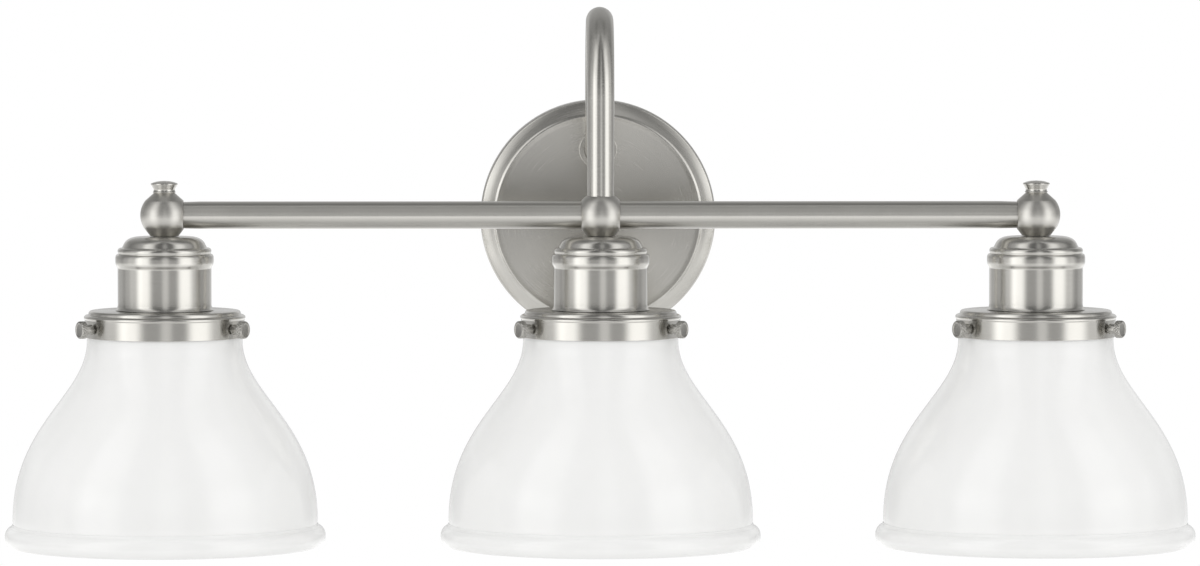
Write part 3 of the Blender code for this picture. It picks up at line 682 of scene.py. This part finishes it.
def arm_path(steps):
    """Centre line of the arm: up from the centre ball, over the arch, down, and back into the plate."""
    arch_r, bend_r = ARCH_R * MM, LOWER_BEND_R * MM
    # the solid tube has twelve sides, so its top lies a little lower than its radius
    tangent_z = ARM_TOP - TUBE_R * MM * math.cos(math.pi / 12) - arch_r
    rear_y = LAMP_Y + 2 * arch_r
    line = [Vector((LAMP_Y, z)) for z in (BAR_Z + TUBE_SEAT * MM, BAR_Z + 14 * MM)]
    line += divided((LAMP_Y, BAR_Z + 15 * MM), (LAMP_Y, tangent_z), 4)
    line += arc((LAMP_Y + arch_r, tangent_z), arch_r, 180, 0, steps)
    line += arc((rear_y + bend_r, ARM_ENTRY_Z + bend_r), bend_r, 180, 270, steps // 2)
    line.append(Vector((PLATE_FACE - 0.1 * MM, ARM_ENTRY_Z)))
    return [Vector((0, y, z)) for y, z in line]


def make_arm():
    """Gooseneck tube with a small chamfer at each end and its threaded spigots."""
    path = arm_path(56)
    frames = frames_along(path)
    up, back = frames[0], frames[-1]
    first, last = path[0], path[-1]
    tip_front = Vector((0, LAMP_Y, BAR_Z + SPIGOT_TIP * MM))
    tip_rear = Vector((0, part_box("gooseneck_arm")[1].y, ARM_ENTRY_Z))
    full, spigot, bore, chamfer = TUBE_R * MM, SPIGOT_R * MM, SPIGOT_BORE_R * MM, 0.4 * MM
    rings = [(tip_front, spigot, up), (first, spigot, up), (first, full - chamfer, up)]
    rings += [(first + up[0] * chamfer, full, up)]
    rings += [(p, full, f) for p, f in zip(path[1:-1], frames[1:-1])]
    rings += [(last, full, back), (last, spigot, back), (tip_rear, spigot, back), (tip_rear, bore, back)]
    rings += [(last, bore, back)]
    stations = [(p, f[1], f[2], r) for p, r, f in rings]
    finish_piece("arm", swept_mesh("arm", stations, 64), Matrix.Identity(4), NICKEL_ARM,
                 "gooseneck_arm")


def ball_outline(side):
    """Ball with a conical foot; the top takes the arm on the centre ball and a finial on the others."""
    foot_r, foot_z = 8.1, -12.2
    if side == "centre":
        round_part = arc((0, 0), BALL_R, FOOT_ANGLE, 51, 40)
        top = [Vector((8.3, 10.9)), Vector((8.3, BALL_BORE)), Vector((0, BALL_BORE))]
    else:
        round_part = arc((0, 0), BALL_R, FOOT_ANGLE, 38, 34)
        top = softened([(6.8, 13.2, 1.2), (6.4, 13.9), (5.0, 13.9), (5.0, BALL_BORE), (0, BALL_BORE)])[1:]
    foot = softened([(0, foot_z), (foot_r, foot_z, 0.25), tuple(round_part[0])])[:-1]
    return foot + round_part + top


def make_balls():
    """Ball hubs, spot-faced where a bar enters, and the finials that cap the outer two."""
    seat = [(0, BALL_BORE), (8.25, BALL_BORE), (8.25, 10.9), (9.0, 11.6), (9.0, 16), (0, 16)]
    seat_mesh = turned_mesh("seat", seat, 96)
    finial = softened([
        (0, 9.4), (4.7, 9.4), (4.7, 14.0), (6.3, 14.0, 0.2), (6.1, 14.9, 0.6), (7.9, 18.0, 0.25),
        (7.7, 18.6, 0.3), (4.6, 19.7, 2.0), (0, 20.0),
    ], 6)
    for side in SIDES:
        centre = Vector((LAMP_X[side], LAMP_Y, BAR_Z))
        entries = (-1, 1) if side == "centre" else (-SIGN[side],)
        cutters = [(seat_mesh, facing((entry, 0, 0))) for entry in entries]
        mesh = cut_mesh(turned_mesh("ball", ball_outline(side), 128), cutters)
        finish_piece("ball_" + side, mesh, place_at(centre), NICKEL_BALL,
                     "ball_hub_" + side)
        if SIGN[side]:
            finish_piece("finial_piece_" + side, turned_mesh("finial", finial), place_at(centre), NICKEL,
                         "finial_" + side)


def make_bars():
    """The straight tube on either side of the centre ball, with eased ends."""
    near = TUBE_SEAT
    far = SPACING / MM - near
    easing = 0.35
    outline = softened([(0, near), (TUBE_R, near, easing)])
    outline += divided((TUBE_R, near + 2), (TUBE_R, far - 2), 24)
    outline += softened([(TUBE_R, far, easing), (0, far)])
    for side in ("left", "right"):
        place = place_at((0, LAMP_Y, BAR_Z), facing((SIGN[side], 0, 0)))
        finish_piece("bar_" + side, turned_mesh("bar", outline), place, NICKEL_TUBE,
                     "bar_tube_" + side)


# ---------------------------------------------------------------- sockets and shades

def make_cover(side, place):
    """Spun cup: domed top, a bead, a wider band with a soft lower edge, and a body flared at its foot."""
    outline = softened([
        (BORE_R, -12.5), (18.2, -12.5, 2.6), (22.6, -14.6, 3.0), (24.6, -18.7, 0.9), (25.1, -19.1, 0.2),
        (26.6, -19.1, 0.9), (27.4, -20.7, 1.1), (26.9, -22.3, 0.7), (26.9, -22.6, 0.2), (28.0, -22.8, 0.8),
        (28.6, -24.2, 1.2), (28.6, -28.2, 1.6), (27.5, -30.2, 0.7), (27.25, -30.9, 0.3),
        (27.25, -53.4, 1.6), (28.7, -55.2, 0.2), (26.0, -55.2, 0.2), (26.0, -24.0, 2.0),
        (21.6, -15.4, 3.0), (16.6, -13.8, 2.0), (BORE_R, -13.8),
    ], 6)
    finish_piece("cover_" + side, turned_mesh("cover", outline, 128), place, NICKEL,
                 "socket_cover_" + side)


def outward(angle):
    """The level direction at an angle in degrees round a lamp."""
    return Vector((math.cos(math.radians(angle)), math.sin(math.radians(angle)), 0))


def screw_spot(angle):
    """Where a thumbscrew's axis meets the band, from the lamp's ball centre."""
    return (outward(angle) * BAND_R + Vector((0, 0, SCREW_Z))) * MM


def make_gallery(side, place):
    """Shade holder: stepped disc, bead and band, drilled for its three screws."""
    outline = softened([
        (19.3, -55.5), (43.5, -55.5, 0.7), (44.3, -56.6, 0.6), (44.3, -58.0, 0.3), (45.9, -58.0, 0.5),
        (47.0, -58.9, 0.8), (46.9, -60.0, 0.5), (BAND_R, -60.5, 0.2), (BAND_R, -70.6, 0.3),
        (BAND_R, -71.0, 0.2), (45.7, -71.0, 0.2), (45.7, -59.4, 0.8), (43.1, -58.6, 0.5),
        (43.1, -56.7, 0.5), (19.3, -56.7),
    ], 5)
    drill = drill_mesh(SCREW_HOLE_R, 5.0)
    cutters = [(drill, place_at(screw_spot(angle), facing(outward(angle)))) for angle in SCREW_ANGLES]
    mesh = cut_mesh(turned_mesh("gallery", outline, 144), cutters)
    finish_piece("gallery_piece_" + side, mesh, place, NICKEL, "gallery_" + side)


def thumbscrew_outline():
    """Shank, neck and a dished knob."""
    neck_r = 3.0
    dish_r, dish = 3.6, KNOB_TOP - 0.35
    outline = softened([(0, SHANK_TIP), (1.3, SHANK_TIP), (SHANK_R, SHANK_TIP + 0.7)])
    outline += divided((SHANK_R, SHANK_TIP + 0.9), (SHANK_R, NECK_H), 20)
    outline += softened([(SHANK_R, NECK_H), (neck_r, NECK_H, 0.3), (neck_r, KNOB_FOOT, 0.5)])
    outline += softened([(4.4, KNOB_FOOT, 0.3), (KNOB_R, KNOB_FOOT + 0.4, 0.15)])
    outline += divided((KNOB_R, KNOB_FOOT + 0.6), (KNOB_R, KNOB_TOP - 0.5), 16)
    outline += softened([
        (KNOB_R, KNOB_TOP - 0.45, 0.1), (4.6, KNOB_TOP, 0.2), (3.9, KNOB_TOP, 0.2), (dish_r, dish, 0.3),
        (0, dish),
    ])
    return outline


def thumbscrew_shape(radius, height, angle):
    """A thread on the shank and crossed ridges on the knob's rim."""
    if height < NECK_H and abs(radius - SHANK_R) < 0.1:
        return thread(0.7, 0.3)(radius, height, angle)
    if radius < KNOB_R - 0.2 or not KNOB_FOOT + 0.4 < height < KNOB_TOP - 0.3:
        return radius
    ridges, slant, depth = 18, 3.0, 0.16
    crest = max(math.cos(ridges * angle + slant * height), math.cos(ridges * angle - slant * height))
    return radius - depth * (1 - crest)


def make_thumbscrews(side):
    outline = thumbscrew_outline()
    for number, angle in enumerate(SCREW_ANGLES, 1):
        place = place_at(Vector((LAMP_X[side], LAMP_Y, BAR_Z)) + screw_spot(angle), facing(outward(angle)))
        mesh = turned_mesh("thumbscrew", outline, 108, thumbscrew_shape)
        node = f"thumbscrew_{side}_{number}"
        finish_piece(f"screw_{side}_{number}", mesh, place, NICKEL_KNURL_PAINTED_SHADE, node,
                     body=node, sharp=28)


def make_shade(side, place):
    """Opal bell: lipped neck, S-curved bell and a rolled bead at the mouth."""
    neck_r, neck_z = 45.3, -73
    mouth_r, mouth_z = 88.9, -178
    outline = softened([(44.0, -59.4, 0.9), (42.8, -67.6, 0.8), (43.2, -68.6, 0.8), (neck_r, -71.0, 0.8)])
    outline += bezier((neck_r, neck_z), (neck_r, -105), (mouth_r, -121), (mouth_r, mouth_z), 64)
    outline += softened([
        (mouth_r, -179.6, 0.6), (89.6, -181.3, 0.9), (91.6, -182.2, 1.6), (93.5, -185.2, 2.4),
        (93.4, -189.6, 2.6), (91.4, -193.0, 2.4), (88.6, -193.0, 1.8), (86.4, -191.0, 1.8),
        (85.4, -186.0, 2.0),
    ], 6)
    neck_r, mouth_r = neck_r - GLASS, mouth_r - GLASS
    outline += bezier((mouth_r, mouth_z), (mouth_r, -122.5), (neck_r, -106.5), (neck_r, neck_z), 56)
    outline += softened([(41.0, -69.5, 1.0), (39.4, -67.0, 1.0), (39.4, -59.4, 0.9)])
    node = "shade_" + side
    finish_piece("bell_" + side, turned_mesh("bell", outline, 160), place, OPAL, node,
                 body=node, sharp=60)


def socket_shell_mesh():
    """A thin tube rolled into the lamp's screw thread."""
    inner, outer = 13.15, 13.7
    low, high = -62.0, -37.0
    rows, depth = 72, 0.75
    outline = divided((outer, low), (outer, high), rows) + [Vector((outer, high))]
    outline += divided((inner, high), (inner, low), rows) + [Vector((inner, low))]
    return turned_mesh("shell", outline, 72, thread(SOCKET_PITCH, depth))


def make_socket(side, place):
    """Porcelain lampholder with its rolled shell and brass contact."""
    body_r, shoulder_r, inside_r = 19.0, 22.0, 14.1
    body = softened([
        (BORE_R, -20), (14.0, -20, 2.0), (body_r, -25.5, 3.0), (body_r, -51.0, 0.5),
        (shoulder_r, -52.0, 0.4), (shoulder_r, -55.2, 0.2), (body_r, -55.2), (body_r, -66.0, 1.0),
        (15.0, -66.0, 0.8), (inside_r, -64.8, 0.4), (inside_r, -33.0, 1.0), (BORE_R, -33.0),
    ], 5)
    finish_piece("porcelain_" + side, turned_mesh("porcelain", body), place, PORCELAIN,
                 "lampholder_" + side)
    finish_piece("shell_" + side, socket_shell_mesh(), place, ALUMINIUM,
                 "screw_shell_" + side, sharp=70)
    contact = softened([
        (0, -33.3), (8.0, -33.3, 0.2), (8.0, -34.3, 0.3), (4.2, -34.5, 0.5), (3.0, -35.5, 0.5), (0, -35.5),
    ])
    finish_piece("contact_" + side, turned_mesh("contact", contact, 64), place, BRASS,
                 "centre_contact_" + side)


def make_retaining_ring(side, place):
    """Porcelain ring with finger grips, which clamps the gallery to the lampholder."""
    low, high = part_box("retaining_ring_" + side)
    top, bottom = (high.z - BAR_Z) / MM, (low.z - BAR_Z) / MM
    inner, outer = 19.3, 25.0
    flutes, depth = 16, 0.7

    def grips(radius, height, angle):
        return radius - depth * max(0.0, math.cos(flutes * angle)) ** 6 if radius > outer - 1 else radius
    ring = softened([(inner, top), (outer, top, 0.4), (outer, bottom, 0.5), (inner, bottom, 0.4)])
    finish_piece("ring_" + side, turned_mesh("ring", ring, 192, grips), place, PORCELAIN,
                 "retaining_ring_" + side)


# ---------------------------------------------------------------- wiring

def make_splices():
    """Two ribbed twist-on connectors."""
    rib_count, rib_depth = 14, 0.28

    def ribs(radius, height, angle):
        ribbed = radius > 3.0 and height > 0.8
        return radius + rib_depth * math.cos(rib_count * angle) if ribbed else radius
    cone = softened([(0, 5.0), (3.4, 5.0), (3.4, 0.2, 0.2), (5.1, 0.0, 0.3), (5.1, 3.2, 0.5)], 4)
    cone += divided((4.5, 4.6), (3.2, 19.4), 10)
    cone += softened([(3.2, 19.6, 0.6), (2.2, 21.2, 0.8), (0, 21.4)], 4)
    for name, sign in (("black", -1), ("white", 1)):
        node = "wire_connector_" + name
        place = place_at((sign * 7.0 * MM, SPLICE_Y * MM, middle(node).z), facing((sign, 0, 0)))
        finish_piece("splice_" + name, turned_mesh("splice", cone, 112, ribs), place, PLASTIC,
                     node, sharp=50)


def make_ground_lead():
    """Green lead from the ground screw up to the house supply."""
    path = smooth_path([
        (15.0, -3.2, 5.4), (15.0, -3.2, 14.0), (15.0, -3.3, 26.0), (14.0, -7.5, 34.5), (12.2, -13.5, 38.0),
        (10.4, -16.4, 39.0),
    ])
    mesh = rod_mesh("ground_wire", [p * MM for p in path], GROUND_WIRE_R * MM)
    finish_piece("ground_wire", mesh, Matrix.Identity(4), WIRE_GREEN, "ground_lead")


def lead_path(side):
    """A lead's run in mm: from its lampholder through bar and arm, and down behind the plate."""
    sign = SIGN[side]
    x = LAMP_X[side] / MM
    depth = LEAD_BACK if sign else -LEAD_FRONT
    y = LAMP_Y / MM + depth
    z = BAR_Z / MM
    across = LEAD_SIDE * sign
    path = [Vector((x, y, z - 32.0)), Vector((x, y, z - 7.0))]
    if sign:
        turn = arc((0, 0), LEAD_TURN_R, 0, 90, 8)
        path += [Vector((x - sign * (LEAD_TURN_R - p.x), y, z - LEAD_TURN_R + p.y)) for p in turn]
        path.append(Vector((sign * 8.5, y, z)))
        rise = arc((0, 0), LEAD_RISE_R, 270, 180, 8)
        near = LEAD_SIDE + LEAD_RISE_R
        path += [Vector((sign * (near + p.x), y, z + LEAD_RISE_R + p.y)) for p in rise]
    path.append(Vector((across, y, z + 7.0)))
    line = arm_path(28)
    for point, (tangent, _, _) in zip(line[1:-1], frames_along(line)[1:-1]):
        path.append(point / MM + Vector((across, 0, 0)) + tangent.cross(Vector((1, 0, 0))) * depth)
    entry = ARM_ENTRY_Z / MM
    path.append(Vector((across, PLATE_FACE / MM, entry - depth)))
    drop = SIDE_LEAD_DROP if sign else CENTRE_LEAD_DROP
    bends = [Vector((share * across, back, entry + down)) for share, back, down in drop]
    return path + smooth_path([path[-1]] + bends, 6)[1:]


def make_lead(side):
    """A sleeved pair of conductors, and the black and white tails from its end into the splices."""
    path = lead_path(side)
    mesh = rod_mesh("lead", [p * MM for p in path], LEAD_R * MM)
    finish_piece("lead_" + side, mesh, Matrix.Identity(4), SLEEVE, "lamp_leads_" + side)
    splice_z = middle("wire_connector_black").z / MM + (1.2 if SIGN[side] else -1.2)
    for colour, way, finish in (("black", -1, WIRE_BLACK), ("white", 1, WIRE_WHITE)):
        start = path[-1] + Vector((0.5 * way, 0, 0.4))
        mouth = Vector((7.4 * way, SPLICE_Y + 1.3 * SIGN[side], splice_z))
        bend = (start + mouth) / 2 + Vector((-1.0 * way, 0.5, -2.2))
        below, inside = start + Vector((0.1 * way, 0, -2.0)), mouth + Vector((3.0 * way, 0, 0))
        turns = smooth_path([start, below, bend, mouth, inside])
        wire = rod_mesh("tail", [p * MM for p in turns], TAIL_R * MM, 12)
        finish_piece(f"tail_{side}_{colour}", wire, Matrix.Identity(4), finish, None)


# ---------------------------------------------------------------- stage

def smooth_band(nodes, value, centre, half, edge):
    """1 inside a band of directions in degrees, falling softly to 0 outside it."""
    away = nodes.math("ABSOLUTE", nodes.math("WRAP", nodes.math("SUBTRACT", value, centre), 180.0, -180.0))
    node = nodes.add("ShaderNodeMapRange", interpolation_type="SMOOTHERSTEP")
    nodes.feed(node, {"Value": away, "From Min": half, "From Max": half + edge})
    nodes.feed(node, {"To Min": 1.0, "To Max": 0.0})
    return node.outputs["Result"]


# compass direction from the front, half width, soft edge, brightness: the tall soft boxes round the object
SOFT_BOXES = (
    (-50, 6, 22, 1.08),
    (-73, 6, 22, 0.32),
    (-98, 6, 14, 0.15),
    (5, 2.5, 10, 0.36),
    (55, 7, 20, 1.10),
    (84, 4, 16, 0.36),
    (99, 2, 10, 0.15),
    (140, 8, 20, 0.15),
    (-140, 8, 20, 0.15),
    (180, 14, 24, 0.30),
)
# height above the horizon, half width, soft edge, share of the boxes' light
TIERS = (
    (1, 6, 20, 0.82),
    (34, 10, 30, 0.68),
    (90, 8, 26, 0.45),
)
BASE_LIGHT = 0.20
BASE_SHARE = 0.36
TABLE_LIGHT = 1.00             # glow from below, near the horizon, and straight down
TABLE_LIGHT_DOWN = 0.20
TABLE_EDGE = (-18.0, 2.0)      # heights at which the glow is full and gone
DIFFUSE_LIGHT = 0.98
FLOOR_DROP = 0.60              # metres below the light
FLOOR_R = 14000.0
CAMERA_DISTANCE = 3.9          # metres in front of the bar
CAMERA_LEFT = 0.055            # of the bar's middle
CAMERA_ABOVE = 0.160
TARGET_LEFT = 0.0004           # the point aimed at, also from the bar's middle
TARGET_BELOW = 0.0397
LENS = 201.0                   # focal length in mm


def make_world():
    """White to the camera, even to matt surfaces, and soft boxes over a glowing table to shiny ones."""
    world = bpy.data.worlds.new("studio")
    bpy.context.scene.world = world
    world.use_nodes = True
    tree = world.node_tree
    nodes = Nodes(tree)
    out = tree.nodes["World Output"]
    shade = tree.nodes["Background"]
    parts = nodes.add("ShaderNodeSeparateXYZ")
    nodes.link(nodes.add("ShaderNodeTexCoord").outputs["Generated"], parts.inputs[0])
    x, y, z = parts.outputs
    compass = nodes.math("DEGREES", nodes.math("ARCTAN2", x, nodes.math("MULTIPLY", y, -1.0)))
    height = nodes.math("DEGREES", nodes.math("ARCSINE", z))
    around = BASE_LIGHT
    for centre, half, edge, bright in SOFT_BOXES:
        band = smooth_band(nodes, compass, centre, half, edge)
        around = nodes.math("ADD", around, nodes.math("MULTIPLY", band, bright))
    level = BASE_SHARE
    for centre, half, edge, share in TIERS:
        band = smooth_band(nodes, height, centre, half, edge)
        level = nodes.math("ADD", level, nodes.math("MULTIPLY", band, share))
    glow = nodes.spread(height, TABLE_LIGHT_DOWN, TABLE_LIGHT, -90.0, -20.0)
    below = nodes.add("ShaderNodeMapRange", interpolation_type="SMOOTHERSTEP")
    full, gone = TABLE_EDGE
    nodes.feed(below, {"Value": height, "From Min": full, "From Max": gone, "To Min": 1.0, "To Max": 0.0})
    glow = nodes.math("MULTIPLY", glow, below.outputs["Result"])
    glossy = nodes.math("ADD", nodes.math("MULTIPLY", around, level), glow)
    rays = nodes.add("ShaderNodeLightPath")
    fill = nodes.add("ShaderNodeMix", data_type="FLOAT")
    nodes.feed(fill, {0: rays.outputs["Is Diffuse Ray"], 2: glossy, 3: DIFFUSE_LIGHT})
    seen = nodes.add("ShaderNodeMix", data_type="FLOAT")
    nodes.feed(seen, {0: rays.outputs["Is Camera Ray"], 2: fill.outputs[0], 3: 1.0})
    nodes.link(seen.outputs[0], shade.inputs["Strength"])
    shade.inputs["Color"].default_value = (1, 1, 1, 1)
    nodes.link(shade.outputs[0], out.inputs[0])


def make_floor():
    """A pale round floor well below the light, which fades into the white surround."""
    mesh = turned_mesh("floor", [(0, 0), (FLOOR_R, 0), (FLOOR_R, -20), (0, -20)], 96)
    floor = bpy.data.objects.new("floor", mesh)
    bpy.context.scene.collection.objects.link(floor)
    floor.location = (0, LAMP_Y, cad_low.z - FLOOR_DROP)
    made, nodes, shader = new_material("pale_floor")
    place = nodes.add("ShaderNodeTexCoord").outputs["Object"]
    away = nodes.add("ShaderNodeVectorMath", operation="LENGTH")
    nodes.link(place, away.inputs[0])
    fade = nodes.spread(away.outputs["Value"], 0.0, 1.0, 1.0, 5.0)
    grain = nodes.noise(place, 30.0)
    nodes.feed(shader, {
        "Base Color": nodes.tint(grain, (0.87, 0.87, 0.865), (0.89, 0.89, 0.885)),
        "Roughness": 0.8,
    })
    glow = nodes.add("ShaderNodeEmission")
    mix = nodes.add("ShaderNodeMixShader")
    nodes.link(fade, mix.inputs[0])
    nodes.link(shader.outputs[0], mix.inputs[1])
    nodes.link(glow.outputs[0], mix.inputs[2])
    nodes.link(mix.outputs[0], made.node_tree.nodes["Material Output"].inputs[0])
    mesh.materials.append(made)
    floor.visible_glossy = False


def make_camera():
    """Long lens, a little above and to the left of the middle, aimed just below the bar."""
    data = bpy.data.cameras.new("camera")
    camera = bpy.data.objects.new("camera", data)
    bpy.context.scene.collection.objects.link(camera)
    camera.location = (-CAMERA_LEFT, LAMP_Y - CAMERA_DISTANCE, BAR_Z + CAMERA_ABOVE)
    target = Vector((-TARGET_LEFT, LAMP_Y, BAR_Z - TARGET_BELOW))
    camera.rotation_euler = (target - camera.location).to_track_quat("-Z", "Y").to_euler()
    data.sensor_width = 36.0
    data.lens = LENS
    bpy.context.scene.camera = camera


def paint_hidden_nodes():
    """Gives the pieces inside the covers, which stay as they are, their metal."""
    for side in SIDES:
        for kind in ("nipple_", "nipple_nut_"):
            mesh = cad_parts[kind + side].data
            mesh.materials.clear()
            mesh.materials.append(ZINC)


make_camera()
make_world()
make_floor()
make_plate()
make_collar()
make_crossbar()
make_studs()
make_ground_screw()
make_locknut()
make_arm()
make_balls()
make_bars()
for lamp_side in SIDES:
    lamp_place = place_at((LAMP_X[lamp_side], LAMP_Y, BAR_Z))
    make_cover(lamp_side, lamp_place)
    make_gallery(lamp_side, lamp_place)
    make_socket(lamp_side, lamp_place)
    make_retaining_ring(lamp_side, lamp_place)
    make_thumbscrews(lamp_side)
    make_shade(lamp_side, lamp_place)
    make_lead(lamp_side)
make_splices()
make_ground_lead()
paint_hidden_nodes()

bpy.context.scene.view_settings.view_transform = "Standard"
